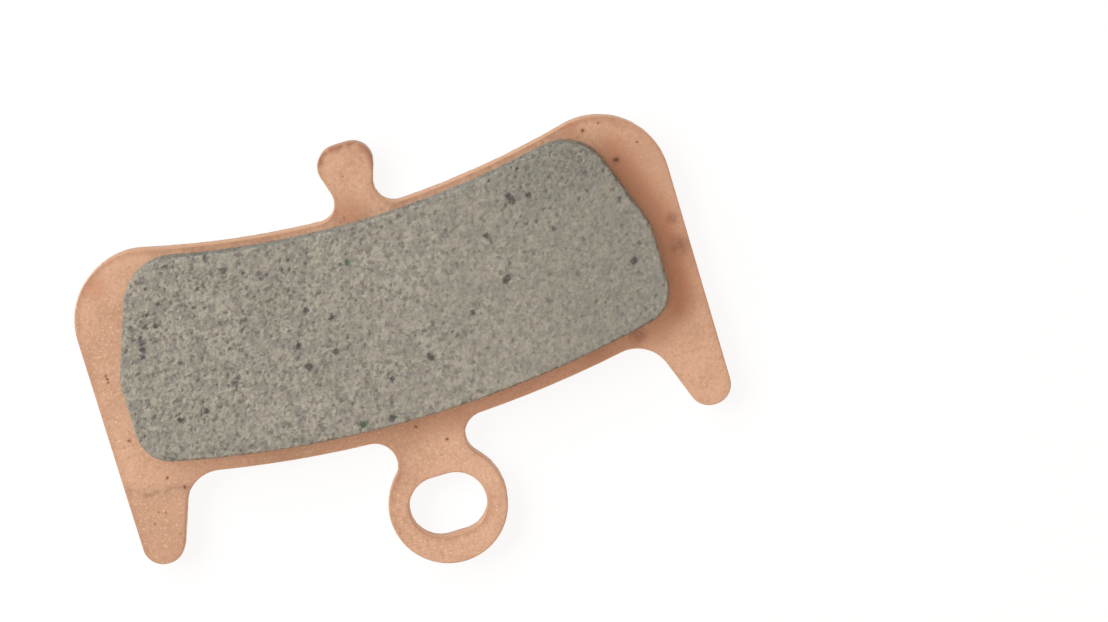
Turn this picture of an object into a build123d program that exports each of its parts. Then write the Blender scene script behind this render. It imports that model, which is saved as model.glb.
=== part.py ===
"""Disc brake pad for a bicycle caliper with four pistons.

Two pieces: a backing plate stamped from sheet steel, and a block of sintered friction
compound that is pressed on to its front and down into three key holes.

The pad lies on its back, friction side up.  X runs along its length, Y points to the axis
of the rotor and Z is its thickness.  The origin is the middle of the outline, on the back.

Profiles are drawn in a frame whose centre is the rotor's axis, because the long edges of
the plate and the block are arcs about it.  A height there is minus a radius.
"""

from build123d import *

import os
from math import cos, radians, sin, sqrt, tan

# Backing plate
plate_length = 46.0
plate_depth = 17.1
plate_thickness = 1.8
plate_inner_radius = 68.2
plate_corner_radius = 5.4
front_edge_round = 0.12
back_edge_chamfer = 0.15

# Legs at the two ends of the outer edge
leg_reach = 4.3
leg_tip_width = 2.75
leg_taper = 20.3
leg_tip_radius = 1.55
leg_tip_flat = 0.05
leg_root_radius = 2.7

# Eyelet that hangs on the pad pin
eyelet_drop = 5.95
eyelet_radius = 4.5
eyelet_root_radius = 1.7
slot_length = 5.9
slot_height = 4.6

# Finger tab on the inner edge
tab_reach = 5.3
tab_head_width = 4.2
tab_head_radius = 1.55
tab_taper = 17.0
tab_root_radius = 1.5

# Friction block, set in from the edges of the plate
block_thickness = 2.2
inner_margin = 0.5
outer_margin = 1.3
side_margin = 2.4
shoulder_height = 9.0
shoulder_taper = 20.0
shoulder_radius = 4.0
upper_corner_radius = 3.6
lower_corner_radius = 2.6
block_edge_chamfer = 0.08

# Key holes through the plate and the compound that fills them
key_diameter = 4.3
key_side_inset = 7.9
key_inner_inset = 2.6
key_outer_inset = 4.5
key_recess = 0.45
key_dome_height = 0.45

# Sizes that follow from those above
half_length = plate_length / 2
plate_outer_radius = plate_inner_radius + plate_depth
tab_top = plate_inner_radius - tab_reach
eyelet_centre = plate_outer_radius + eyelet_drop
leg_tip = plate_outer_radius + leg_reach
block_inner_radius = plate_inner_radius + inner_margin
block_outer_radius = plate_outer_radius - outer_margin
block_half_length = half_length - side_margin
key_radius = key_diameter / 2

# The rotor's axis stands where the outline's middle falls on the origin
rotor_axis_y = (tab_top + eyelet_centre + eyelet_radius) / 2
back_plane = Plane(origin=(0, rotor_axis_y, 0))
front_plane = back_plane.offset(plate_thickness)
sides = (-1, 1)

key_points = [
    (-half_length + key_side_inset, -plate_inner_radius - key_inner_inset),
    (half_length - key_side_inset, -plate_inner_radius - key_inner_inset),
    (0, -plate_outer_radius + key_outer_inset),
]


def arc_height(radius, x):
    """Height of an arc about the rotor's axis at a distance x from the centre line."""
    return -sqrt(radius**2 - x**2)


def rise_to_arc(x, y, taper, radius):
    """Point where a line that rises from (x, y), leaning in by the taper, meets an arc."""
    lean = tan(radians(taper))
    a = 1 + lean**2
    b = 2 * (y - lean * x)
    c = x**2 + y**2 - radius**2
    rise = (-b - sqrt(b**2 - 4 * a * c)) / (2 * a)
    return x - lean * rise, y + rise


def nearest_vertex(sketch, x, y):
    """The sketch's corner closest to a point of its own frame."""
    return sketch.vertices().sort_by_distance((x, y))[0]


def mirrored(points):
    """A closed symmetrical outline from the points of its right half, top to bottom."""
    return points + [(-x, y) for x, y in reversed(points)]


# Web between the plate and the eyelet, hollowed by circles that touch both
root_from_axis = plate_outer_radius + eyelet_root_radius
root_from_eyelet = eyelet_radius + eyelet_root_radius
root_drop = (root_from_axis**2 - root_from_eyelet**2 + eyelet_centre**2) / (2 * eyelet_centre)
root_x = sqrt(root_from_axis**2 - root_drop**2)
web_top_share = plate_outer_radius / root_from_axis
web_foot_share = eyelet_radius / root_from_eyelet

with BuildSketch() as eyelet_web:
    Polygon(
        *mirrored(
            [
                (root_x * web_top_share, -root_drop * web_top_share),
                (root_x, -root_drop),
                (root_x * web_foot_share, -eyelet_centre + (eyelet_centre - root_drop) * web_foot_share),
            ]
        ),
        align=None,
    )
    with Locations((-root_x, -root_drop), (root_x, -root_drop)):
        Circle(eyelet_root_radius, mode=Mode.SUBTRACT)

# Finger tab: a rounded head on a neck that narrows towards the plate
head_centre_x = tab_head_width / 2 - tab_head_radius
head_centre_y = -tab_top - tab_head_radius
neck_top_x = head_centre_x + tab_head_radius * cos(radians(tab_taper))
neck_top_y = head_centre_y - tab_head_radius * sin(radians(tab_taper))
neck_length = (plate_inner_radius + neck_top_y + tab_root_radius) / cos(radians(tab_taper))
neck_foot_x = neck_top_x - neck_length * sin(radians(tab_taper))
neck_foot_y = neck_top_y - neck_length * cos(radians(tab_taper))

with BuildSketch() as finger_tab:
    Polygon(*mirrored([(neck_top_x, neck_top_y), (neck_foot_x, neck_foot_y)]), align=None)
    with Locations((0, head_centre_y)):
        SlotCenterToCenter(2 * head_centre_x, 2 * tab_head_radius)

# Leg: straight outside, leaning inside, with a round tip as wide as the leg allows
leg_inner_x = half_length - leg_tip_width
leg_root_x, leg_root_y = rise_to_arc(leg_inner_x, -leg_tip, leg_taper, plate_outer_radius)
tip_radius_limit = (leg_tip_width - leg_tip_flat) / (1 + tan(radians(45 - leg_taper / 2)))
tip_radius = min(leg_tip_radius, tip_radius_limit)

with BuildPart() as backing_plate:
    with BuildSketch(back_plane) as outline:
        with BuildLine():
            inner_left = (-half_length, arc_height(plate_inner_radius, half_length))
            inner_right = (half_length, arc_height(plate_inner_radius, half_length))
            root_left = (-leg_root_x, leg_root_y)
            root_right = (leg_root_x, leg_root_y)
            ThreePointArc(inner_left, (0, -plate_inner_radius), inner_right)
            Polyline(inner_right, (half_length, -leg_tip), (leg_inner_x, -leg_tip), root_right)
            ThreePointArc(root_right, (0, -plate_outer_radius), root_left)
            Polyline(root_left, (-leg_inner_x, -leg_tip), (-half_length, -leg_tip), inner_left)
        make_face()
        for side in sides:
            corner = nearest_vertex(outline, side * half_length, inner_right[1])
            fillet(corner, plate_corner_radius)
            for tip_x in (half_length, leg_inner_x):
                fillet(nearest_vertex(outline, side * tip_x, -leg_tip), tip_radius)
            fillet(nearest_vertex(outline, side * leg_root_x, leg_root_y), leg_root_radius)
        add(finger_tab.sketch)
        for side in sides:
            fillet(nearest_vertex(outline, side * neck_foot_x, -plate_inner_radius), tab_root_radius)
        add(eyelet_web.sketch)
        with Locations((0, -eyelet_centre)):
            Circle(eyelet_radius)
            SlotOverall(slot_length, slot_height, mode=Mode.SUBTRACT)
    extrude(amount=plate_thickness)
    chamfer(backing_plate.edges().group_by(Axis.Z)[0], back_edge_chamfer)
    fillet(backing_plate.edges().group_by(Axis.Z)[-1], front_edge_round)
    with BuildSketch(back_plane):
        with Locations(*key_points):
            Circle(key_radius)
    extrude(amount=plate_thickness, mode=Mode.SUBTRACT)
backing_plate.part.label = "backing_plate"

# Compound in one key hole: a plug whose end, facing the back, is a low dome
dome_radius = (key_radius**2 + key_dome_height**2) / (2 * key_dome_height)
plug_edge = key_recess + key_dome_height

with BuildPart() as key_plug:
    with BuildSketch(Plane.XZ):
        with BuildLine():
            dome = RadiusArc((0, key_recess), (key_radius, plug_edge), -dome_radius)
            Polyline(dome @ 1, (key_radius, plate_thickness), (0, plate_thickness), dome @ 0)
        make_face()
    revolve(axis=Axis.Z)

shoulder = (block_half_length, -block_outer_radius + shoulder_height)
block_top_x, block_top_y = rise_to_arc(*shoulder, shoulder_taper, block_inner_radius)
block_foot_y = arc_height(block_outer_radius, block_half_length)

with BuildPart() as friction_pad:
    with BuildSketch(front_plane) as face:
        with BuildLine():
            top_right = (block_top_x, block_top_y)
            top_left = (-block_top_x, block_top_y)
            foot_right = (block_half_length, block_foot_y)
            foot_left = (-block_half_length, block_foot_y)
            ThreePointArc(top_left, (0, -block_inner_radius), top_right)
            Polyline(top_right, shoulder, foot_right)
            ThreePointArc(foot_right, (0, -block_outer_radius), foot_left)
            Polyline(foot_left, (-shoulder[0], shoulder[1]), top_left)
        make_face()
        for side in sides:
            fillet(nearest_vertex(face, side * block_top_x, block_top_y), upper_corner_radius)
            fillet(nearest_vertex(face, side * block_half_length, block_foot_y), lower_corner_radius)
            fillet(nearest_vertex(face, side * shoulder[0], shoulder[1]), shoulder_radius)
    extrude(amount=block_thickness)
    chamfer(friction_pad.edges().group_by(Axis.Z)[-1], block_edge_chamfer)
    with Locations(*[back_plane.from_local_coords((x, y, 0)) for x, y in key_points]):
        add(key_plug.part)
friction_pad.part.label = "friction_pad"

os.makedirs("parts", exist_ok=True)
for piece in (backing_plate.part, friction_pad.part):
    export_step(piece, f"parts/{piece.label}.step")
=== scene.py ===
"""Looks of a bicycle disc brake pad: a copper-plated backing plate and a sintered friction block.

The pad lies on its back, friction side up, on a pale floor.  The frame gives the shape of both
pieces.  This script makes them again on fine meshes, sinks into them what stamping and sintering
leave (torn walls and a crease, pores, chips and cracks), and gives them their finish.

Meshes and settings are in metres.  Points, lists of places and the coordinates that the
materials read are in millimetres.
"""

from math import atan2, ceil, radians
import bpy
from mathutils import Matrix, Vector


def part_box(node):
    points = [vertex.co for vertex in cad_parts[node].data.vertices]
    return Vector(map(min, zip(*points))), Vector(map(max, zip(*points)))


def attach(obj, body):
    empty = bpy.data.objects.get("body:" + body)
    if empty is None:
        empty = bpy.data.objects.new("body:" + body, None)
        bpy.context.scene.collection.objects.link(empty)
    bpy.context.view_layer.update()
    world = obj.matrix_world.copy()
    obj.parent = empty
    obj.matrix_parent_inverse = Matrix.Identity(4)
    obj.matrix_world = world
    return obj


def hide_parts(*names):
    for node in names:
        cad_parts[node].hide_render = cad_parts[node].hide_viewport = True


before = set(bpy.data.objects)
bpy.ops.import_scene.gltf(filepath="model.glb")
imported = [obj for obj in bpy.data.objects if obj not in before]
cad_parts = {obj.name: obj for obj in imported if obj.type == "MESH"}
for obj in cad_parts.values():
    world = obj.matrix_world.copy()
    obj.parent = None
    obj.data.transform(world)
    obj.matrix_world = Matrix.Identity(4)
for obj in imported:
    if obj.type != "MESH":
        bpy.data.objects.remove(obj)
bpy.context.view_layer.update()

from types import SimpleNamespace

import bmesh
import bpy
from bpy.props import FloatProperty, FloatVectorProperty, PointerProperty
from mathutils import Matrix, Vector, noise
from mathutils.bvhtree import BVHTree
from mathutils.geometry import intersect_point_line
from mathutils.kdtree import KDTree

bl_info = {
    "name": "Brake Pad Looks",
    "version": (1, 0, 0),
    "blender": (4, 5, 0),
    "location": "3D View > Sidebar > Brake Pad",
    "description": "Finishes a disc brake pad's plate, friction block and stage",
    "category": "Object",
}

MM = 0.001
plate_low, plate_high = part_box("backing_plate")
block_low, block_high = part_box("friction_pad")

# Heights in millimetres
plate_front = plate_high.z / MM
block_face = block_high.z / MM

# Key holes in the plate, as (x, y) and their radius in millimetres
key_holes = [(-15.1, 8.525), (15.1, 8.525), (0.0, -1.475)]
key_radius = 2.15

# Middle of the finger tab's head, as (x, y) in millimetres
tab_head = (0.0, 14.6)

# Seed of the noise that bends the block's pores, grains and cracks, so that each run gives the same ones
noise_seed = 1

# Areas with a look of their own: each fades in along the axes, from a start to an end in millimetres
tab_tip = [("y", 13.5, 15.0)]
left_end = [("x", -15.0, -18.0)]
# Areas where the plating is darker: the left leg, and the plate's upper right end
darker_leg = [("x", -14.0, -17.0), ("y", -3.0, -6.0)]
darker_right_end = [("x", 13.0, 17.0), ("y", 4.0, 8.0), ("y", 12.0, 9.0)]
coarse_corner = [("x", 7.0, 13.0), ("y", 5.5, 10.5)]
calm_part = [("x", 2.0, -8.0), ("y", 6.5, 2.5)]

# Marks on the plate's front, as (x, y, radius) in millimetres
dark_spots = [
    (17.69, 12.28, 0.13),
    (19.43, 9.51, 0.19),
    (18.92, 12.53, 0.07),
    (21.30, 10.35, 0.08),
    (-0.40, 14.10, 0.05),
    (-0.61, -5.55, 0.10),
    (1.36, -7.09, 0.10),
    (-21.74, 4.72, 0.07),
    (-21.71, 4.48, 0.09),
    (-21.76, 4.22, 0.08),
    (-21.54, -0.47, 0.11),
    (-19.64, -3.97, 0.10),
    (-18.55, -5.01, 0.12),
]
smudges = [
    (22.21, 2.04, 0.75),
    (17.30, -3.58, 0.60),
    (22.20, 4.16, 0.45),
]
# Reddish patches on the plate's front along the block's top edge, as (x, y, radius) in millimetres: partly
# painted shade of the block and partly a tint
tint_and_shade_patches = [
    (-0.70, 11.30, 1.3),
    (16.80, 12.60, 0.8),
    (-20.60, 11.40, 1.1),
]

# Crease across the left leg, as (x, y) in millimetres
leg_crease = [
    (-22.70, -3.94),
    (-22.04, -4.37),
    (-21.49, -4.86),
    (-20.27, -4.98),
    (-19.22, -4.89),
    (-18.21, -5.19),
]

# Grains in the block's face that stand out, as (x, y, radius) in millimetres
green_flecks = [
    (-1.78, 8.11, 0.26),
    (-4.04, -3.98, 0.22),
    (-1.72, -4.04, 0.17),
]
dark_grains = [
    (11.07, 9.44, 0.31),
    (11.24, 9.10, 0.31),
    (-18.15, 6.60, 0.27),
    (-18.22, 6.12, 0.25),
    (-18.40, 5.60, 0.25),
    (-16.15, 9.05, 0.22),
    (-17.20, 8.47, 0.17),
    (-16.80, 7.55, 0.22),
    (-13.65, 8.10, 0.16),
    (-12.90, 7.82, 0.16),
    (9.36, 3.64, 0.25),
    (9.09, 3.42, 0.28),
    (-4.20, -3.90, 0.28),
    (-1.95, -4.08, 0.30),
    (-6.69, 1.37, 0.34),
    (-7.04, 3.04, 0.30),
    (2.14, -0.46, 0.31),
    (-5.73, 5.54, 0.28),
    (18.62, 2.16, 0.32),
    (-4.06, 4.42, 0.28),
    (-4.51, 1.90, 0.26),
    (6.08, 1.82, 0.26),
    (-12.41, 1.72, 0.26),
    (-1.11, -1.23, 0.26),
    (-10.71, 10.06, 0.27),
    (-15.00, 0.37, 0.25),
    (8.65, 7.06, 0.25),
    (12.56, 9.09, 0.24),
    (-17.06, 0.27, 0.23),
]


def display(red, green, blue):
    """A colour written in display values from 0 to 255, as scene values."""
    shares = [value / 255 for value in (red, green, blue)]
    return tuple(s / 12.92 if s <= 0.04045 else ((s + 0.055) / 1.055) ** 2.4 for s in shares)


def colour_property(name, description, red, green, blue):
    """A colour that a user can change."""
    return FloatVectorProperty(
        name=name,
        description=description,
        subtype="COLOR",
        min=0.0,
        max=1.0,
        default=display(red, green, blue),
    )


def length_property(name, description, millimetres):
    """A length that a user can change, given in millimetres."""
    return FloatProperty(
        name=name,
        description=description,
        unit="LENGTH",
        precision=5,
        min=0.0,
        default=millimetres * MM,
    )


def share_property(name, description, default):
    """A share from 0 to 1 that a user can change."""
    return FloatProperty(
        name=name,
        description=description,
        subtype="FACTOR",
        min=0.0,
        max=1.0,
        default=default,
    )


class PlateSettings(bpy.types.PropertyGroup):
    """Shape and finish of the copper-plated backing plate."""

    copper: colour_property("Copper", "Plating where it is neither worn nor dark", 224, 178, 146)
    # Colour of the bright flecks and of the painted glints
    pale_copper_and_glints: colour_property("Pale copper", "Bright flecks of the blasted plating", 242, 210, 176)
    brown_copper: colour_property("Brown copper", "Darker patches of the plating", 196, 149, 119)
    edge_copper: colour_property("Edge copper", "Sheared part of the walls", 228, 178, 132)
    back_copper: colour_property("Back copper", "Cleaner plating of the back", 222, 178, 148)
    # Reddish colour of the spots' halos and smudges, and of the painted shade along the edges
    tarnish_and_shade: colour_property("Tarnish", "Reddish bands along edges and round spots", 162, 106, 80)
    # Reddish colour of the tinted patches and of the painted shade beside the block
    shade_and_heat_tint: colour_property("Heat tint", "Redder plating beside the block and in patches", 190, 127, 93)
    # Dark colour of the spots, smudges and specks, and of the crease's painted shade
    soot_and_shade: colour_property("Soot", "Spots, smudges and crease", 84, 56, 44)
    # Near-black of the key holes' walls: char with painted shade
    char: colour_property("Char", "Walls of the key holes", 34, 23, 18)
    # Painted highlight of the key holes' rims on the back
    golden_highlight: colour_property("Golden copper", "Rubbed rims on the back", 250, 205, 146)
    stain: colour_property("Stain", "Scuffs and stains on the back", 128, 88, 74)
    metal: share_property("Metal", "How much the plating mirrors, for a matt metal", 0.55)
    roughness: share_property("Roughness", "Mean roughness of the plating", 0.55)
    roughness_range: share_property("Roughness range", "How far the roughness leaves its mean", 0.12)
    blast_depth: length_property("Blast depth", "Depth of the blasted texture", 0.012)
    cell: length_property("Cell", "Spacing of the plate's mesh", 0.16)
    waviness: length_property("Waviness", "Depth of the plate's slow waves", 0.010)
    crease_depth: length_property("Crease depth", "Depth of the crease across the leg", 0.040)
    shear_depth: length_property("Shear depth", "Depth of the torn part of the sheared walls", 0.060)


class CompoundSettings(bpy.types.PropertyGroup):
    """Grain and colours of the sintered friction block."""

    binder: colour_property("Binder", "Pressed metal powder", 190, 187, 172)
    shaded_binder: colour_property("Shaded binder", "Darker powder", 162, 159, 147)
    pale_grain: colour_property("Pale grain", "Lightest grains", 206, 205, 190)
    violet_grain: colour_property("Violet grain", "Faint tint of a few grains", 150, 143, 148)
    mossy_grain: colour_property("Mossy grain", "Faint tint of other grains", 156, 164, 144)
    graphite: colour_property("Graphite", "Dark grains pressed into the face", 90, 87, 86)
    green_grain: colour_property("Green grain", "Few green flecks", 62, 104, 62)
    slate: colour_property("Slate", "Patches of darker powder", 145, 146, 137)
    pore_dust: colour_property("Pore dust", "Floor of the pores", 92, 88, 80)
    burnt: colour_property("Burnt", "Compound at the back of the key holes", 80, 72, 62)
    ash: colour_property("Ash", "Paler patches of the burnt compound", 116, 107, 94)
    # Near-black of the plugs' cracks, and painted shade round their rims
    char: colour_property("Char", "Cracks and rims of the burnt compound", 26, 20, 16)
    cell: length_property("Cell", "Spacing of the block's mesh", 0.103)
    grain: length_property("Grain", "Size of the grains", 0.26)
    grain_relief: length_property("Grain relief", "Height between high and low grains", 0.055)
    fine_relief: length_property("Fine relief", "Height of the powder on the grains", 0.118)
    pore_spacing: length_property("Pore spacing", "Distance between pores", 0.72)
    pore_depth: length_property("Pore depth", "Depth of the deepest pores", 0.11)
    chip_depth: length_property("Chip depth", "Depth of the chips along the edges", 0.07)


class StageSettings(bpy.types.PropertyGroup):
    """Floor, light and camera."""

    camera_place: FloatVectorProperty(
        name="Camera place",
        description="Where the camera stands",
        subtype="XYZ",
        unit="LENGTH",
        default=(24.53 * MM, 46.92 * MM, 334.23 * MM),
    )
    camera_yaw: FloatProperty(
        name="Camera yaw",
        description="Turn of the pad about its own height as the camera sees it",
        subtype="ANGLE",
        default=-0.038289,
    )
    camera_pitch: FloatProperty(
        name="Camera pitch",
        description="Lean of the pad's face as the camera sees it",
        subtype="ANGLE",
        default=0.140284,
    )
    camera_roll: FloatProperty(
        name="Camera roll",
        description="Turn of the pad in the picture",
        subtype="ANGLE",
        default=0.290137,
    )
    lens: FloatProperty(
        name="Lens",
        description="Focal length in millimetres on a sensor 36 mm wide",
        default=146.2,
    )
    sky: FloatProperty(
        name="Sky",
        description="Strength of the even light from all round",
        min=0.0,
        default=0.42,
    )
    sky_colour: colour_property("Sky colour", "Colour of the even light", 255, 212, 183)
    lamp_colour: colour_property("Lamp colour", "Colour of the softbox", 227, 245, 255)
    lamp: FloatProperty(
        name="Lamp",
        description="Power of the softbox",
        unit="POWER",
        min=0.0,
        default=14.8,
    )
    lamp_from: FloatVectorProperty(
        name="Lamp from",
        description="Direction to the softbox: right, up and towards the camera in its view",
        subtype="XYZ",
        default=(-0.70, 0.24, 0.70),
    )
    lamp_distance: FloatProperty(
        name="Lamp distance",
        description="From the pad to the softbox",
        unit="LENGTH",
        default=1.2,
    )
    lamp_height: FloatProperty(
        name="Lamp height",
        description="Longer side of the softbox, upright in the camera's view",
        unit="LENGTH",
        default=1.50,
    )
    lamp_width: FloatProperty(
        name="Lamp width",
        description="Shorter side of the softbox",
        unit="LENGTH",
        default=0.64,
    )
    floor: colour_property("Floor", "Colour of the floor", 105, 105, 105)
    floor_glow: FloatProperty(
        name="Floor glow",
        description="White that the floor adds where it is seen or mirrored",
        min=0.0,
        default=0.90,
    )
    floor_reach: FloatProperty(
        name="Floor reach",
        description="From the pad to the floor's sides",
        unit="LENGTH",
        min=0.0,
        default=3.0,
    )
    floor_gap: length_property("Floor gap", "Play between the pad and the floor", 0.02)


class NodeSheet:
    """A node tree, with a short way to add each kind of node used here."""

    def __init__(self, tree):
        self.tree = tree
        tree.nodes.clear()

    def add(self, kind, inputs=(), **settings):
        """A node whose inputs, by name or number, are set to values or linked to outputs."""
        made = self.tree.nodes.new("ShaderNode" + kind)
        for name, value in settings.items():
            setattr(made, name, value)
        for key, value in dict(inputs).items():
            if isinstance(value, bpy.types.NodeSocket):
                self.tree.links.new(value, made.inputs[key])
            elif isinstance(value, tuple) and len(value) == 3 and made.inputs[key].type == "RGBA":
                made.inputs[key].default_value = (*value, 1.0)
            else:
                made.inputs[key].default_value = value
        return made

    def millimetres(self):
        """Object coordinates in millimetres."""
        place = self.add("TexCoord").outputs["Object"]
        scale = (1 / MM, 1 / MM, 1 / MM)
        return self.add("Mapping", {"Vector": place, "Scale": scale}).outputs["Vector"]

    def axes(self, vector):
        """The X, Y and Z of a place or a direction."""
        return self.add("SeparateXYZ", {"Vector": vector}).outputs

    def rise(self):
        """How far the surface faces up: 1 on top, 0 on walls and -1 underneath."""
        return self.axes(self.add("TexCoord").outputs["Normal"])["Z"]

    def drawn_out(self, place, lengths, turn=0.0):
        """Coordinates turned about Z and divided by a length along each axis, for long patterns."""
        inputs = {"Vector": place, "Rotation": (0.0, 0.0, turn), "Scale": lengths}
        return self.add("Mapping", inputs, vector_type="TEXTURE").outputs["Vector"]

    def warped(self, place, scale, reach):
        """Coordinates pushed about by noise, up to a reach in millimetres."""
        push = self.add("TexNoise", {"Vector": place, "Scale": scale}).outputs["Color"]
        centred = self.add("VectorMath", {0: push, 1: (0.5, 0.5, 0.5)}, operation="SUBTRACT")
        inputs = {0: centred.outputs["Vector"], "Scale": 2 * reach}
        pushed = self.add("VectorMath", inputs, operation="SCALE").outputs["Vector"]
        return self.add("VectorMath", {0: place, 1: pushed}).outputs["Vector"]

    def attribute(self, name):
        """A number stored on the mesh."""
        return self.add("Attribute", attribute_name=name).outputs["Fac"]

    def noise(self, place, scale, detail=2.0, roughness=0.5):
        """Soft noise from 0 to 1 with that many features in a millimetre."""
        inputs = {"Vector": place, "Scale": scale, "Detail": detail, "Roughness": roughness}
        return self.add("TexNoise", inputs).outputs["Fac"]

    def cells(self, place, scale):
        """Distance to the nearest of scattered points, in cells, and a random number for it."""
        made = self.add("TexVoronoi", {"Vector": place, "Scale": scale})
        draw = self.add("SeparateColor", {"Color": made.outputs["Color"]}).outputs["Red"]
        return made.outputs["Distance"], draw

    def seams(self, place, scale):
        """Distance to the nearest seam between cells, in cells."""
        inputs = {"Vector": place, "Scale": scale}
        return self.add("TexVoronoi", inputs, feature="DISTANCE_TO_EDGE").outputs["Distance"]

    def specks(self, place, scale, radius, share):
        """Small round specks: a radius in cells, on a share of the cells."""
        away, draw = self.cells(place, scale)
        speck = self.fade(away, radius, 0.5 * radius)
        return self.product(speck, self.fade(draw, share, share - 0.1))

    def math(self, operation, first, second=0.0, clamp=False):
        """What an operation makes of two numbers."""
        inputs = {0: first, 1: second}
        return self.add("Math", inputs, operation=operation, use_clamp=clamp).outputs["Value"]

    def chain(self, operation, values):
        """What an operation makes of all values, one after the other."""
        result = values[0]
        for value in values[1:]:
            result = self.math(operation, result, value)
        return result

    def product(self, *values):
        """All values multiplied."""
        return self.chain("MULTIPLY", values)

    def total(self, *values):
        """All values added."""
        return self.chain("ADD", values)

    def most(self, *values):
        """The largest of the values."""
        return self.chain("MAXIMUM", values)

    def rest(self, *values):
        """What the values leave of 1."""
        return self.chain("SUBTRACT", (1.0, *values))

    def fade(self, value, start, end, low=0.0, high=1.0):
        """Smooth step of a value from start to end, between low and high."""
        inputs = {"Value": value, "From Min": start, "From Max": end, "To Min": low, "To Max": high}
        made = self.add("MapRange", inputs, interpolation_type="SMOOTHSTEP")
        return made.outputs["Result"]

    def area(self, place, limits):
        """Mask of an area that fades in along the axes."""
        where = self.axes(place)
        return self.product(*[self.fade(where[axis.upper()], start, end) for axis, start, end in limits])

    def marks(self, place, spots, inner, outer):
        """Mask in plan of marks at (x, y, radius), full within inner radii and gone at outer radii."""
        plan = self.add("VectorMath", {0: place, 1: (1.0, 1.0, 0.0)}, operation="MULTIPLY")
        masks = []
        for x, y, radius in spots:
            inputs = {0: plan.outputs["Vector"], 1: (x, y, 0.0)}
            away = self.add("VectorMath", inputs, operation="DISTANCE").outputs["Value"]
            masks.append(self.fade(away, radius * outer, radius * inner))
        return self.most(*masks)

    def mix(self, share, first, second):
        """Two colours mixed by a share from 0 to 1."""
        made = self.add("Mix", {0: share, 6: first, 7: second}, data_type="RGBA")
        return made.outputs[2]

    def paint(self, colour, coat, *shares):
        """A colour with a coat over it, as strong as all its shares multiplied."""
        return self.mix(self.product(*shares), colour, coat)

    def bump(self, height, strength, depth):
        """Normals of a fine relief of that depth in metres."""
        inputs = {"Height": height, "Strength": strength, "Distance": depth}
        return self.add("Bump", inputs).outputs["Normal"]

    def surface(self, **inputs):
        """A Principled surface; underscores in the names stand for spaces."""
        named = {key.replace("_", " "): value for key, value in inputs.items()}
        shader = self.add("BsdfPrincipled", named)
        self.add("OutputMaterial", {"Surface": shader.outputs["BSDF"]})


def new_material(name):
    """A material with an empty node sheet."""
    material = bpy.data.materials.new(name)
    material.use_nodes = True
    return material, NodeSheet(material.node_tree)


def plating_patterns(sheet):
    """Places, noises and masks that the layers of the plating share."""
    place = sheet.millimetres()
    loose = sheet.warped(place, 3.0, 0.12)
    rise = sheet.rise()
    front = sheet.fade(rise, 0.75, 0.985)
    back = sheet.fade(rise, -0.6, -0.95)
    worn = sheet.noise(place, 0.16, 2.0)
    tufts = sheet.fade(sheet.noise(place, 0.7, 2.0), 0.36, 0.56)
    strokes = sheet.noise(sheet.drawn_out(loose, (0.9, 0.13, 0.13), radians(-38)), 1.0, 2.0, 0.6)
    return SimpleNamespace(
        place=place,
        loose=loose,
        chipped=sheet.warped(place, 8.0, 0.10),
        front=front,
        back=back,
        wall=sheet.rest(front, back),
        leg=sheet.product(sheet.area(place, darker_leg), front),
        grain=sheet.noise(place, 2.8, 3.0, 0.6),
        grit=sheet.noise(place, 5.5, 2.0, 0.6),
        lines=sheet.noise(sheet.drawn_out(place, (0.09, 0.09, 1.4)), 1.0, 2.0),
        spots=sheet.product(sheet.marks(loose, dark_spots, 0.4, 1.2), front),
        worn=worn,
        scuffs=sheet.product(sheet.fade(strokes, 0.52, 0.68), sheet.fade(worn, 0.44, 0.58), tufts),
    )


def blasted_copper(sheet, settings, shared):
    """Colour of the blasted plating: slow patches, darker areas, flecks and painted glints, reddish
    patches along the block's top edge that are partly painted shade, and painted shade along the block's
    right and lower walls.
    """
    patches = sheet.noise(shared.place, 0.26, 4.0)
    tone = sheet.total(sheet.product(patches, 0.5), sheet.product(shared.grain, 0.5))
    colour = sheet.mix(sheet.fade(tone, 0.30, 0.62), settings.brown_copper, settings.copper)
    colour = sheet.paint(colour, settings.back_copper, shared.back, 0.8)
    # Painted shade: a reddish band along the block's right and lower walls, stored on the mesh
    warm = sheet.attribute("warm")
    shoulder = sheet.product(sheet.area(shared.place, darker_right_end), shared.front)
    darker_areas = sheet.most(shared.leg, shoulder)
    colour = sheet.paint(colour, settings.brown_copper, darker_areas, sheet.rest(warm), 0.5)
    where = sheet.axes(shared.place)
    coarse = sheet.fade(where["X"], 17.0, 5.0, 0.3, 1.0)
    coarse = sheet.product(coarse, sheet.fade(where["Y"], 13.0, 10.0, 0.3, 1.0))
    flecks = sheet.product(sheet.fade(shared.grit, 0.56, 0.76), 0.75)
    # Painted glints: pale specks that stand for the sparkle of the blasted metal
    glints = sheet.product(sheet.specks(shared.chipped, 3.2, 0.32, 0.35), 0.5)
    colour = sheet.paint(colour, settings.pale_copper_and_glints, sheet.most(flecks, glints), coarse)
    colour = sheet.paint(colour, settings.brown_copper, sheet.fade(shared.grit, 0.46, 0.28), 0.75)
    # Reddish patches, partly painted shade, and the painted shade beside the block
    patch_tint_and_shade = sheet.product(sheet.marks(shared.loose, tint_and_shade_patches, 0.2, 1.6), shared.front, 0.7)
    return sheet.paint(colour, settings.shade_and_heat_tint, sheet.most(patch_tint_and_shade, warm), 0.65)


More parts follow.
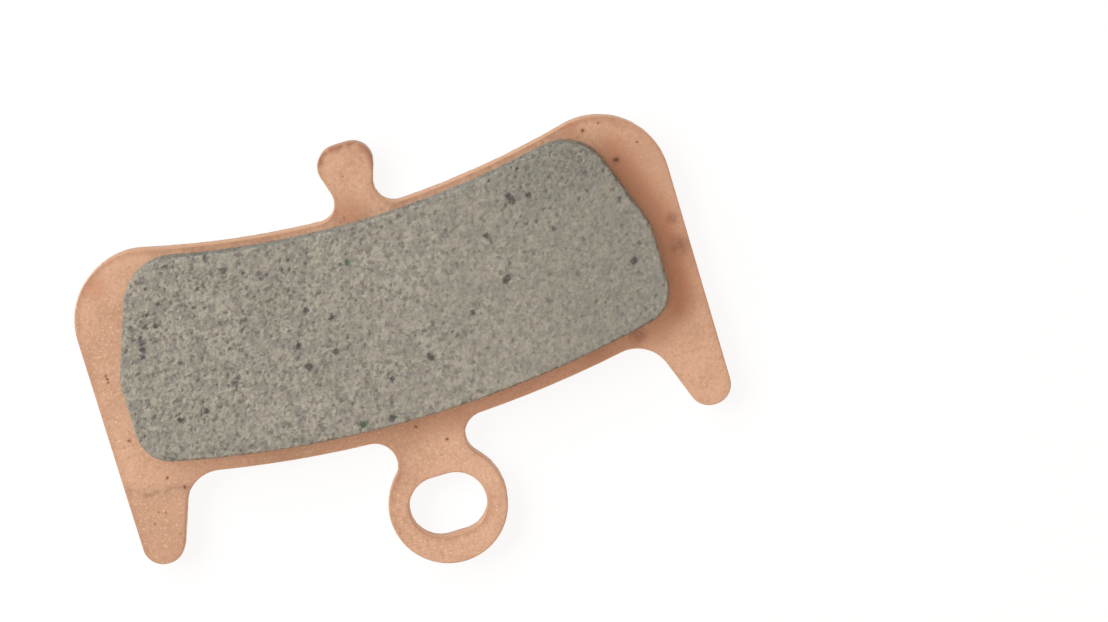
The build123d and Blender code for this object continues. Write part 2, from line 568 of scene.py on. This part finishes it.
def sheared_walls(sheet, settings, shared, colour):
    """Adds the sheared and torn bands of the walls, and the painted shade along the edges."""
    smooth = sheet.mix(sheet.fade(shared.lines, 0.3, 0.7, 0.0, 0.5), settings.edge_copper, settings.copper)
    ragged = sheet.mix(sheet.fade(shared.grit, 0.34, 0.62), settings.brown_copper, settings.copper)
    walls = sheet.paint(smooth, ragged, sheet.attribute("torn"), 0.85)
    colour = sheet.paint(colour, walls, shared.wall, 0.85)
    # Painted shade along the edges
    return sheet.paint(colour, settings.tarnish_and_shade, sheet.attribute("edge"), 0.38)


def key_hole_highlights_and_shade(sheet, settings, shared, colour):
    """Adds golden rings round the key holes on the back, a painted highlight of their rims, and near-black
    walls in the holes, char with painted shade.
    """
    keys = [(x, y, key_radius) for x, y in key_holes]
    # Painted highlight: golden rings round the key holes
    rims = sheet.marks(shared.place, keys, 1.04, 1.12)
    colour = sheet.paint(colour, settings.golden_highlight, rims, shared.back, 0.9)
    # Char with painted shade on the key holes' walls
    walls = sheet.marks(shared.place, keys, 1.03, 1.05)
    return sheet.paint(colour, settings.char, walls, shared.wall, 0.9)


def marks_and_crease_shade(sheet, settings, shared, colour):
    """Adds the spots with their halos, smudges, scattered specks and the shade of the crease."""
    halos = sheet.product(sheet.marks(shared.loose, dark_spots, 0.8, 2.4), shared.front)
    smeared = sheet.fade(shared.grain, 0.3, 0.6, 0.45, 1.0)
    smudge = sheet.product(sheet.marks(shared.loose, smudges, 0.1, 1.6), smeared, shared.front)
    browned = sheet.most(sheet.product(halos, 0.55), sheet.product(smudge, 0.5))
    colour = sheet.mix(browned, colour, settings.tarnish_and_shade)
    dark = sheet.most(
        sheet.product(shared.spots, 0.75),
        sheet.product(smudge, 0.2),
        sheet.product(sheet.specks(shared.loose, 0.55, 0.06, 0.5), 0.5),
        # Painted shade of the crease
        sheet.product(sheet.attribute("crease"), 0.36),
        sheet.product(sheet.specks(shared.chipped, 1.8, 0.26, 0.4), shared.leg, 0.4),
    )
    return sheet.mix(dark, colour, settings.soot_and_shade)


def soiled_back(sheet, settings, shared, colour):
    """Adds the scuffs, pepper and stains of the back."""
    fine = sheet.specks(shared.loose, 2.4, 0.24, 0.45)
    pepper = sheet.most(fine, sheet.specks(shared.loose, 1.2, 0.16, 0.5))
    stains = sheet.fade(sheet.noise(sheet.warped(shared.place, 1.2, 0.4), 0.42, 3.0), 0.57, 0.72)
    soiled = sheet.most(
        sheet.product(shared.scuffs, 0.7),
        sheet.product(pepper, sheet.fade(shared.worn, 0.52, 0.38), 0.8),
        sheet.product(stains, 0.5),
    )
    return sheet.paint(colour, settings.stain, shared.back, soiled)


def blasted_relief(sheet, settings, shared):
    """Fine relief of the plating: blasted grain, sunk spots and scuffs, and the lines of the walls."""
    height = sheet.total(
        sheet.product(shared.grain, 0.6),
        sheet.product(shared.grit, 0.4),
        sheet.product(shared.spots, -0.8),
        sheet.product(shared.back, shared.scuffs, -0.5),
        sheet.product(shared.wall, shared.lines, 0.7),
    )
    return sheet.bump(height, 0.8, settings.blast_depth)


def copper_plating(settings):
    """Blasted copper plating with spots and smudges, sheared walls and a scuffed back."""
    material, sheet = new_material("copper_plating")
    shared = plating_patterns(sheet)
    colour = blasted_copper(sheet, settings, shared)
    for layer in (sheared_walls, key_hole_highlights_and_shade, marks_and_crease_shade, soiled_back):
        colour = layer(sheet, settings, shared, colour)
    smoothest = settings.roughness - settings.roughness_range
    roughest = settings.roughness + settings.roughness_range
    sheet.surface(
        Base_Color=colour,
        Metallic=settings.metal,
        Roughness=sheet.fade(shared.grain, 0.3, 0.7, smoothest, roughest),
        Normal=blasted_relief(sheet, settings, shared),
    )
    return material


def compound_patterns(sheet):
    """Places, noises and masks that the layers of the compound share."""
    place = sheet.millimetres()
    loose = sheet.warped(place, 3.0, 0.20)
    along = sheet.axes(place)["X"]
    corner = sheet.area(place, coarse_corner)
    rise = sheet.rise()
    _, grain = sheet.cells(loose, 2.3)
    _, powder = sheet.cells(loose, 4.4)
    return SimpleNamespace(
        place=place,
        loose=loose,
        ragged=sheet.warped(place, 4.5, 0.22),
        along=along,
        corner=corner,
        rough=sheet.most(sheet.fade(along, -16.0, 12.0, 1.0, 0.62), corner),
        top=sheet.fade(rise, 0.3, 0.8),
        sides=sheet.fade(rise, 0.8, 0.3),
        cloud=sheet.noise(place, 2.5, 3.0, 0.6),
        grit=sheet.noise(place, 4.6, 2.0, 0.55),
        grain=grain,
        powder=powder,
        pore=sheet.attribute("pore"),
        inclusion=sheet.attribute("inclusion"),
    )


def pressed_powder(sheet, settings, shared):
    """Colour of the pressed powder: binder, and light, dark and tinted grains in it."""
    colour = sheet.mix(sheet.fade(shared.grain, 0.0, 0.7), settings.shaded_binder, settings.binder)
    slow = sheet.fade(sheet.noise(shared.place, 0.22, 2.0), 0.60, 0.38)
    # Darker towards the block's right end, and in slow patches
    darker_areas = sheet.most(sheet.product(slow, 0.4), sheet.fade(shared.along, 2.0, 18.0, 0.0, 0.85))
    colour = sheet.mix(darker_areas, colour, settings.shaded_binder)
    coats = [
        (settings.pale_grain, sheet.fade(shared.powder, 0.72, 0.95), 0.42),
        (settings.pale_grain, sheet.fade(shared.grit, 0.55, 0.74), 0.40),
        (settings.pore_dust, sheet.fade(shared.grit, 0.46, 0.28), 0.20),
        (settings.graphite, sheet.fade(shared.powder, 0.13, 0.07), 0.50),
    ]
    for coat, grains, share in coats:
        colour = sheet.paint(colour, coat, grains, shared.rough, share)
    violet = sheet.product(sheet.fade(shared.grain, 0.20, 0.24), sheet.fade(shared.grain, 0.36, 0.32))
    mossy = sheet.product(sheet.fade(shared.powder, 0.44, 0.48), sheet.fade(shared.powder, 0.64, 0.60))
    colour = sheet.paint(colour, settings.violet_grain, violet, 0.3)
    return sheet.paint(colour, settings.mossy_grain, mossy, 0.35)


def mottled_powder(sheet, settings, shared, colour):
    """Adds the crevices between grains, and patches of darker powder."""
    crevices = sheet.fade(sheet.seams(shared.ragged, 2.4), 0.12, 0.02)
    crevices = sheet.product(crevices, sheet.fade(shared.cloud, 0.40, 0.60))
    colour = sheet.paint(colour, settings.pore_dust, crevices, shared.rough, 0.45)
    mottle = sheet.fade(sheet.noise(shared.loose, 1.0, 3.0, 0.6), 0.46, 0.68)
    # More slate towards the block's right end
    colour = sheet.paint(colour, settings.slate, mottle, sheet.fade(shared.along, -2.0, 12.0, 0.18, 0.65))
    return sheet.paint(colour, settings.slate, shared.corner, 0.25)


def dragged_sides(sheet, settings, shared, colour):
    """Adds the blotches and the upright drag marks of the block's sides."""
    blotches = sheet.fade(sheet.noise(shared.loose, 1.3, 2.0), 0.42, 0.58)
    colour = sheet.paint(colour, settings.shaded_binder, shared.sides, blotches, 0.6)
    scores = sheet.noise(sheet.drawn_out(shared.place, (0.26, 0.26, 2.4)), 1.0, 2.0, 0.6)
    colour = sheet.paint(colour, settings.pore_dust, shared.sides, sheet.fade(scores, 0.48, 0.34), 0.6)
    return sheet.paint(colour, settings.pale_grain, shared.sides, sheet.fade(scores, 0.54, 0.68), 0.5)


def grains_and_pores(sheet, settings, shared, colour):
    """Adds the dark grains, the pores and the green flecks."""
    known = sheet.product(sheet.marks(shared.ragged, dark_grains, 0.5, 1.25), shared.top)
    worn = sheet.fade(shared.grit, 0.75, 0.45, 0.6, 1.0)
    colour = sheet.paint(colour, settings.graphite, sheet.most(shared.inclusion, known), worn)
    dusty = sheet.fade(shared.grit, 0.68, 0.38, 0.45, 1.0)
    calm = sheet.fade(sheet.area(shared.place, calm_part), 0.0, 1.0, 1.0, 0.75)
    colour = sheet.paint(colour, settings.pore_dust, shared.pore, dusty, calm, 0.9)
    flecks = sheet.marks(shared.ragged, green_flecks, 0.4, 1.4)
    return sheet.paint(colour, settings.green_grain, flecks, 0.8)


def burnt_plugs(sheet, settings, shared, colour):
    """Adds the burnt and cracked ends of the plugs in the key holes, with painted shade round their rims.
    """
    plug = sheet.attribute("plug")
    burnt = sheet.mix(sheet.fade(shared.cloud, 0.35, 0.65), settings.burnt, settings.ash)
    # Cracks, and painted shade round each plug's rim
    cracks_and_rim_shade = sheet.most(sheet.fade(plug, 0.58, 0.92), sheet.product(shared.pore, 0.9))
    burnt = sheet.mix(cracks_and_rim_shade, burnt, settings.char)
    return sheet.mix(sheet.fade(plug, 0.0, 0.02), colour, burnt)


def powder_relief(sheet, settings, shared):
    """Fine relief of the powder, which is flatter where the face is smoother."""
    height = sheet.total(
        sheet.product(shared.cloud, 0.5),
        sheet.product(shared.grit, 0.5),
        sheet.product(shared.grain, 0.12),
        sheet.product(shared.powder, 0.08),
    )
    return sheet.bump(sheet.product(height, shared.rough), 1.0, settings.fine_relief)


def sintered_compound(settings):
    """Grey-beige pressed powder with pores, pale and dark grains and a few green flecks."""
    material, sheet = new_material("sintered_compound")
    shared = compound_patterns(sheet)
    colour = pressed_powder(sheet, settings, shared)
    for layer in (mottled_powder, dragged_sides, grains_and_pores, burnt_plugs):
        colour = layer(sheet, settings, shared, colour)
    sheet.surface(
        Base_Color=colour,
        Metallic=0.0,
        Roughness=sheet.fade(shared.inclusion, 0.0, 1.0, 0.82, 0.55),
        Normal=powder_relief(sheet, settings, shared),
    )
    return material


def smooth_step(value, start, end):
    """0 at start and beyond, 1 at end and beyond, and an even curve between."""
    share = min(max((value - start) / (end - start), 0.0), 1.0)
    return share * share * (3 - 2 * share)


def area_share(point, limits):
    """Share from 0 to 1 at a point of an area that fades in along the axes."""
    share = 1.0
    for axis, start, end in limits:
        share *= smooth_step(getattr(point, axis), start, end)
    return share


def chance(place):
    """A number from 0 to 1 that belongs to a scattered point."""
    return 0.5 + 0.5 * noise.cell(place * 13.7)


def scattered_pit(point, facing, spacing, share, smallest, largest):
    """Depth from 0 to 1 of the scattered pit at a point of a surface that faces some way.

    A share of the scattered places has a pit.  The sizes are radii, in parts of the spacing.
    """
    here = point / spacing
    deepest = 0.0
    for place in noise.voronoi(here)[1]:
        draw = chance(place)
        if draw < share:
            gap = place - here
            away = (gap - gap.dot(facing) * facing).length
            radius = smallest + (largest - smallest) * draw / share
            pit = (1 - smooth_step(away, 0.4 * radius, radius)) * (0.4 + 0.6 * chance(place * 3.1))
            deepest = max(deepest, pit)
    return deepest


def distance_to_path(point, path):
    """Distance in the XY plane from a point to the nearest stretch of a path."""
    here = Vector((point.x, point.y, 0))
    distances = []
    for start, end in zip(path, path[1:]):
        start = Vector((*start, 0))
        end = Vector((*end, 0))
        _, share = intersect_point_line(here, start, end)
        foot = start.lerp(end, min(max(share, 0.0), 1.0))
        distances.append((here - foot).length)
    return min(distances)


def merged_copy(node):
    """A node's shape as a mesh whose triangles are joined at their corners."""
    shape = bmesh.new()
    shape.from_mesh(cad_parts[node].data)
    bmesh.ops.remove_doubles(shape, verts=shape.verts, dist=0.001 * MM)
    return shape


def new_piece(name, shape):
    """A new object with that shape."""
    mesh = bpy.data.meshes.new(name)
    shape.to_mesh(mesh)
    shape.free()
    piece = bpy.data.objects.new(name, mesh)
    bpy.context.scene.collection.objects.link(piece)
    return piece


def gridded_copy(node, name, cell):
    """A new piece with a node's shape and edges, whose faces are cut along planes a cell apart."""
    flat_angle = radians(0.1)
    cut_play = 0.002 * MM
    sliver = 0.015 * MM
    shape = merged_copy(node)
    bmesh.ops.dissolve_limit(shape, angle_limit=flat_angle, verts=shape.verts, edges=shape.edges)
    low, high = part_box(node)
    for axis in range(3):
        across = Vector([1.0 if axis == other else 0.0 for other in range(3)])
        steps = ceil((high - low)[axis] / cell)
        for step in range(1, steps):
            whole = shape.verts[:] + shape.edges[:] + shape.faces[:]
            place = low.lerp(high, step / steps)
            bmesh.ops.bisect_plane(shape, geom=whole, dist=cut_play, plane_co=place, plane_no=across)
    bmesh.ops.dissolve_degenerate(shape, dist=sliver, edges=shape.edges)
    for face in shape.faces:
        face.smooth = True
    return new_piece(name, shape)


def remeshed_copy(node, name, cell):
    """A new piece with a node's shape on an even mesh."""
    piece = new_piece(name, merged_copy(node))
    mesh = piece.data
    even = piece.modifiers.new("even mesh", "REMESH")
    even.mode = "VOXEL"
    even.voxel_size = cell
    even.use_smooth_shade = True
    seen = piece.evaluated_get(bpy.context.evaluated_depsgraph_get())
    piece.data = bpy.data.meshes.new_from_object(seen)
    piece.modifiers.clear()
    bpy.data.meshes.remove(mesh)
    piece.data.name = name
    return piece


def block_tree():
    """The block's solid as a tree for rays and nearest points."""
    shape = bmesh.new()
    shape.from_mesh(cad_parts["friction_pad"].data)
    tree = BVHTree.FromBMesh(shape)
    shape.free()
    return tree


def is_covered(tree, place):
    """Whether the block lies over a place on the plate's front and all round it."""
    height = (plate_high.z + block_high.z) / 2
    margin = 0.4 * MM
    for x, y in ((margin, 0), (-margin, 0), (0, margin), (0, -margin)):
        start = Vector((place.x + x, place.y + y, height))
        if tree.ray_cast(start, Vector((0, 0, 1)))[0] is None:
            return False
    return True


def join_hidden_faces(shape, hidden):
    """Joins the faces for which a test says hidden into one for each strip between key holes."""
    seat = [(face.calc_center_median(), face) for face in shape.faces]
    seat = [(middle.x, face) for middle, face in seat if hidden(face, middle)]
    bounds = [block_low.x, *sorted(x * MM for x, y in key_holes), block_high.x]
    for left, right in zip(bounds, bounds[1:]):
        strip = [face for x, face in seat if left <= x < right]
        bmesh.ops.dissolve_faces(shape, faces=strip)


def keep_inside(vert, low, high):
    """Moves a vertex that stands outside a box on to its side."""
    for axis in range(3):
        vert.co[axis] = min(max(vert.co[axis], low[axis]), high[axis])


def outline_tree(shape):
    """The plate's walls as a tree of places in plan, and the way the wall faces at each."""
    walls = [vert for vert in shape.verts if abs(vert.normal.z) < 0.3]
    tree = KDTree(len(walls))
    for number, vert in enumerate(walls):
        tree.insert((vert.co.x, vert.co.y, 0), number)
    tree.balance()
    return tree, [vert.normal.copy() for vert in walls]


def edge_shade_strength(point, away, facing):
    """Strength of the painted shade on the plate's front, some way from a wall that faces so.

    It is a frayed band along edges that face up and left, and a narrow one along the right edges
    and the left end's rim.  Both are strongest round the tip of the finger tab.
    """
    upper = smooth_step(facing.y - 0.4 * facing.x, -0.1, 0.9)
    tip = area_share(point, tab_tip)
    ray = atan2(point.y - tab_head[1], point.x - tab_head[0])
    strokes = tip * noise.noise(Vector((4 * ray, 0, 0)))
    frayed = away + 0.25 * noise.noise(point / 0.4) + 0.45 * strokes
    band = (1 - smooth_step(frayed, 0.05, 0.70 - 0.15 * tip)) * (0.15 + 0.85 * upper) * (1 + 1.3 * tip)
    turned = smooth_step(facing.x, 0.2, 0.8) * (1 - smooth_step(away, 0.05, 0.30 + 0.40 * tip))
    left = smooth_step(-facing.x, 0.3, 0.8) * area_share(point, left_end)
    rim = left * (1 - smooth_step(away, 0.02, 0.20))
    return max(band, (0.5 + 1.5 * tip) * turned, 1.1 * rim)


def block_shade_band(place, tree):
    """Strength of the painted shade on the plate's front: a reddish band along the block's right and lower
    walls.
    """
    foot, _, _, away = tree.find_nearest(place)
    right = (place.x - foot.x) / max(away, 0.01 * MM)
    below = (foot.y - place.y) / max(away, 0.01 * MM)
    lower = 0.20 + 0.35 * smooth_step(place.x / MM, -8, 8)
    beside = smooth_step(right, 0.3, 0.8) * (1 - smooth_step(-below, 0.3, 0.8))
    share = max(beside, lower * smooth_step(below, 0.3, 0.8))
    band = 0.75 + 0.25 * smooth_step(away / MM, 0.2, 0.9)
    return share * band * (1 - smooth_step(away / MM, 0.9, 2.8))


def wall_depth(vert, point, wall, settings, layers):
    """How far a sheared wall is sunk at a vertex, in metres; also sets its layers."""
    line = noise.noise(Vector((point.x / 0.35, point.y / 0.35, point.z / 2.2)))
    lump = noise.fractal(point / 0.40, 0.8, 2.0, 2)
    height = point.z + 0.22 * noise.noise(Vector((point.x / 1.1, point.y / 1.1, 0)))
    torn = 1 - smooth_step(height, 0.36 * plate_front, 0.50 * plate_front)
    vert[layers["torn"]] = torn
    # Painted shade on the walls round the tab's tip
    vert[layers["edge"]] = 1.2 * area_share(point, tab_tip)
    depth = (1 - torn) * 0.06 * (1 + line) + torn * (0.5 + 0.5 * lump)
    return settings.shear_depth * wall * depth


def crease_depth(vert, point, settings, layers):
    """How far the crease sinks the leg's front at a vertex, in metres; also sets its layer."""
    bent = point + Vector((0, 0.22 * noise.noise(point / 0.6), 0))
    away = distance_to_path(bent, leg_crease)
    crease = 1 - smooth_step(away, 0.04, 0.26)
    # Painted shade of the crease, wider than its groove
    shade = max(crease, 0.4 - 0.4 * smooth_step(away, 0.2, 0.9))
    vert[layers["crease"]] = shade * min(max(0.6 + 0.8 * noise.noise(point / 0.8), 0.15), 1.0)
    return settings.crease_depth * crease * (0.7 + 0.6 * noise.noise(point / 1.2))


def stamp(piece, settings):
    """Gives the plate its slow waves, torn walls and crease, and stores the painted shade along its edges
    and beside the block.
    """
    shape = bmesh.new()
    shape.from_mesh(piece.data)
    block = block_tree()
    join_hidden_faces(shape, lambda face, middle: face.normal.z > 0.99 and is_covered(block, middle))
    layers = {name: shape.verts.layers.float.new(name) for name in ("crease", "edge", "torn", "warm")}
    shape.normal_update()
    outline, facing = outline_tree(shape)
    for vert in shape.verts:
        point = vert.co / MM
        depth = settings.waviness * (0.5 + 0.5 * noise.noise(point / 2.6))
        wall = 1 - abs(vert.normal.z)
        if wall > 0.3:
            depth += wall_depth(vert, point, wall, settings, layers)
        if vert.normal.z > 0.5:
            _, number, away = outline.find((vert.co.x, vert.co.y, 0))
            # Painted shade along the edges
            vert[layers["edge"]] = edge_shade_strength(point, away / MM, facing[number])
            # Painted shade beside the block
            vert[layers["warm"]] = block_shade_band(vert.co, block)
        if vert.normal.z > 0.7 and point.x < leg_crease[-1][0] + 1 and point.y < leg_crease[0][1] + 1:
            depth += crease_depth(vert, point, settings, layers)
        vert.co -= vert.normal * depth
        keep_inside(vert, plate_low, plate_high)
    shape.to_mesh(piece.data)
    shape.free()


def dark_grain(point):
    """Share from 0 to 1 of the dark grain at a point of the block's face."""
    share = 0.0
    for x, y, radius in dark_grains:
        away = (Vector((x, y)) - point.xy).length
        share = max(share, 1 - smooth_step(away, 0.5 * radius, 1.3 * radius))
    return share


def plug_depth(vert, point, layers):
    """How far a plug's burnt end is sunk at a vertex, in metres; also sets its layers."""
    away = min((Vector((x, y)) - point.xy).length for x, y in key_holes) / key_radius
    bent = point + 0.30 * noise.noise_vector(point / 0.6)
    cells, _ = noise.voronoi(bent / 2.4)
    crack = (1 - smooth_step(cells[1] - cells[0], 0.0, 0.10)) * (0.6 + 0.4 * noise.noise(point / 0.8))
    lumps = 0.5 + 0.5 * noise.noise(point / 0.45)
    vert[layers["plug"]] = 0.05 + 0.95 * away
    vert[layers["pore"]] = crack
    return (0.10 * crack + 0.06 * lumps) * MM * (1 - smooth_step(away, 0.75, 0.98))


def face_depth(vert, point, settings, layers):
    """How far the block's face or side is sunk at a vertex, in metres; also sets its layers."""
    bent = point + 0.20 * noise.noise_vector(point / 0.30)
    flat = vert.normal.z > 0.7
    facing = Vector((0, 0, 1)) if flat else Vector((vert.normal.x, vert.normal.y, 0)).normalized()
    corner = area_share(point, coarse_corner)
    calm = area_share(point, calm_part)
    crowd = 0.38 + 0.22 * noise.noise(point / 7.0) - 0.008 * point.x + 0.30 * corner - 0.10 * calm
    crowd = min(max(crowd, 0.2), 0.75)
    pore = scattered_pit(bent, facing, settings.pore_spacing / MM, crowd, 0.12, 0.29)
    inclusion = scattered_pit(bent + Vector((31, 17, 5)), facing, 2.2, 0.20, 0.06, 0.13)
    sunk = max(inclusion, dark_grain(bent)) if flat else inclusion
    grain = smooth_step(noise.fractal(point / (settings.grain / MM), 0.9, 2.0, 2), -0.15, 0.75)
    rim = smooth_step(vert.normal.z, 0.2, 0.5) * (1 - smooth_step(vert.normal.z, 0.9, 0.99))
    chip = rim * smooth_step(noise.noise(point / 0.45), 0.0, 0.6)
    rough = 1 - 0.3 * smooth_step(point.x, -16, 12) * (1 - corner)
    vert[layers["pore"]] = rough * max(pore, 0.8 * chip, 0.35 * grain)
    vert[layers["inclusion"]] = inclusion
    depth = settings.grain_relief * grain + settings.pore_depth * max(pore, 0.4 * sunk)
    share = 1.0 if flat else 0.95 - 0.55 * smooth_step(point.z, block_face - 0.8, block_face - 0.2)
    depth = rough * share * depth + settings.chip_depth * chip
    return depth * smooth_step(point.z, plate_front + 0.02, plate_front + 0.25)


def sinter(piece, settings):
    """Sinks pores, grains, chips and cracks into the block's visible sides."""
    noise.seed_set(noise_seed)
    shape = bmesh.new()
    shape.from_mesh(piece.data)
    seat = plate_high.z + 0.02 * MM
    play = 0.04 * MM
    join_hidden_faces(shape, lambda face, middle: face.normal.z < -0.99 and abs(middle.z - seat) < play)
    layers = {name: shape.verts.layers.float.new(name) for name in ("pore", "inclusion", "plug")}
    shape.normal_update()
    for vert in shape.verts:
        point = vert.co / MM
        if point.z > plate_front:
            vert.co -= vert.normal * face_depth(vert, point, settings, layers)
        elif vert.normal.z < -0.4 and point.z < 0.7 * plate_front:
            vert.co -= vert.normal * plug_depth(vert, point, layers)
        keep_inside(vert, block_low, block_high)
    shape.to_mesh(piece.data)
    shape.free()


def plain_values(group):
    """A settings group's values, with colours as plain tuples."""
    values = {name: getattr(group, name) for name in group.__annotations__}
    plain = {name: value if isinstance(value, float) else tuple(value) for name, value in values.items()}
    return SimpleNamespace(**plain)


def finish_piece(piece, material, node):
    """Gives a piece its material and puts it in a node's place."""
    piece.data.materials.clear()
    piece.data.materials.append(material)
    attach(piece, "root")
    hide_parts(node)


class PAD_OT_stamp_plate(bpy.types.Operator):
    """Make the backing plate with its sheared walls, crease and copper plating"""

    bl_idname = "brake_pad.stamp_plate"
    bl_label = "Stamp Backing Plate"

    def execute(self, context):
        settings = context.scene.pad_plate
        plate = gridded_copy("backing_plate", "stamped_plate", settings.cell)
        stamp(plate, settings)
        plating = copper_plating(plain_values(settings))
        finish_piece(plate, plating, "backing_plate")
        return {"FINISHED"}


class PAD_OT_press_block(bpy.types.Operator):
    """Make the friction block with its grain, pores and plugs"""

    bl_idname = "brake_pad.press_block"
    bl_label = "Press Friction Block"

    def execute(self, context):
        settings = context.scene.pad_compound
        block = remeshed_copy("friction_pad", "sintered_block", settings.cell)
        sinter(block, settings)
        compound = sintered_compound(plain_values(settings))
        finish_piece(block, compound, "friction_pad")
        return {"FINISHED"}


def seen_or_mirrored(sheet):
    """1 for rays from the camera and from mirrors and glass, 0 for the rest."""
    path = sheet.add("LightPath").outputs
    seen = sheet.math("ADD", path["Is Camera Ray"], path["Is Glossy Ray"])
    return sheet.math("ADD", seen, path["Is Transmission Ray"], clamp=True)


def pale_floor(settings):
    """A floor that keeps shadows and is white to the camera and in reflections."""
    material, sheet = new_material("pale_floor")
    diffuse = sheet.add("BsdfDiffuse", {"Color": tuple(settings.floor)})
    strength = sheet.product(seen_or_mirrored(sheet), settings.floor_glow)
    glow = sheet.add("Emission", {"Strength": strength})
    both = sheet.add("AddShader", {0: diffuse.outputs["BSDF"], 1: glow.outputs["Emission"]})
    sheet.add("OutputMaterial", {"Surface": both.outputs["Shader"]})
    return material


def lay_floor(settings):
    """A wide floor just under the pad."""
    shape = bmesh.new()
    place = Matrix.Translation((0, 0, -settings.floor_gap))
    reach = settings.floor_reach
    bmesh.ops.create_grid(shape, x_segments=1, y_segments=1, size=reach, matrix=place)
    floor = new_piece("floor", shape)
    floor.data.materials.append(pale_floor(settings))


def light_sky(settings):
    """Even light from all round, white where it is seen or mirrored."""
    world = bpy.data.worlds.new("sky")
    bpy.context.scene.world = world
    world.use_nodes = True
    sheet = NodeSheet(world.node_tree)
    seen = seen_or_mirrored(sheet)
    strength = sheet.fade(seen, 0.0, 1.0, settings.sky, 1.0)
    colour = sheet.mix(seen, tuple(settings.sky_colour), (1.0, 1.0, 1.0))
    light = sheet.add("Background", {"Color": colour, "Strength": strength})
    sheet.add("OutputWorld", {"Surface": light.outputs["Background"]})


def hang_softbox(settings, turn):
    """A tall softbox to the left of the camera's view."""
    lamp = bpy.data.lights.new("softbox", "AREA")
    lamp.energy = settings.lamp
    lamp.color = settings.lamp_colour
    lamp.shape = "RECTANGLE"
    lamp.size = settings.lamp_height
    lamp.size_y = settings.lamp_width
    softbox = bpy.data.objects.new("softbox", lamp)
    towards = turn @ Vector(settings.lamp_from).normalized()
    softbox.location = towards * settings.lamp_distance
    softbox.rotation_euler = towards.to_track_quat("Z", "Y").to_euler()
    bpy.context.scene.collection.objects.link(softbox)


def place_camera(settings, turn):
    """Puts up the camera with that turn and makes it the scene's own."""
    lens = bpy.data.cameras.new("camera")
    lens.lens = settings.lens
    lens.clip_start = 0.01
    camera = bpy.data.objects.new("camera", lens)
    camera.matrix_world = Matrix.Translation(settings.camera_place) @ turn.to_4x4()
    bpy.context.scene.collection.objects.link(camera)
    bpy.context.scene.camera = camera


class PAD_OT_set_stage(bpy.types.Operator):
    """Lay the floor, hang the lights and place the camera"""

    bl_idname = "brake_pad.set_stage"
    bl_label = "Set Stage"

    def execute(self, context):
        settings = context.scene.pad_stage
        roll = Matrix.Rotation(settings.camera_roll, 3, "Z")
        pitch = Matrix.Rotation(settings.camera_pitch, 3, "X")
        yaw = Matrix.Rotation(settings.camera_yaw, 3, "Y")
        turn = (roll @ pitch @ yaw).transposed()
        lay_floor(settings)
        light_sky(settings)
        hang_softbox(settings, turn)
        place_camera(settings, turn)
        context.scene.view_settings.view_transform = "Standard"
        return {"FINISHED"}


class PAD_PT_looks(bpy.types.Panel):
    """Lists the pad's settings and steps"""

    bl_label = "Brake Pad"
    bl_idname = "PAD_PT_looks"
    bl_space_type = "VIEW_3D"
    bl_region_type = "UI"
    bl_category = "Brake Pad"

    def draw(self, context):
        steps = [
            (PAD_OT_stamp_plate, context.scene.pad_plate),
            (PAD_OT_press_block, context.scene.pad_compound),
            (PAD_OT_set_stage, context.scene.pad_stage),
        ]
        for step, settings in steps:
            box = self.layout.box()
            for name in settings.__annotations__:
                box.prop(settings, name)
            box.operator(step.bl_idname)


classes = (
    PlateSettings,
    CompoundSettings,
    StageSettings,
    PAD_OT_stamp_plate,
    PAD_OT_press_block,
    PAD_OT_set_stage,
    PAD_PT_looks,
)


def register():
    """Registers the classes and hangs the settings on the scene."""
    for made in classes:
        bpy.utils.register_class(made)
    bpy.types.Scene.pad_plate = PointerProperty(type=PlateSettings)
    bpy.types.Scene.pad_compound = PointerProperty(type=CompoundSettings)
    bpy.types.Scene.pad_stage = PointerProperty(type=StageSettings)


def unregister():
    """Takes the settings and the classes away again."""
    del bpy.types.Scene.pad_stage
    del bpy.types.Scene.pad_compound
    del bpy.types.Scene.pad_plate
    for made in reversed(classes):
        bpy.utils.unregister_class(made)


def main():
    """Makes the whole scene."""
    register()
    bpy.ops.brake_pad.stamp_plate()
    bpy.ops.brake_pad.press_block()
    bpy.ops.brake_pad.set_stage()


if __name__ == "__main__":
    main()
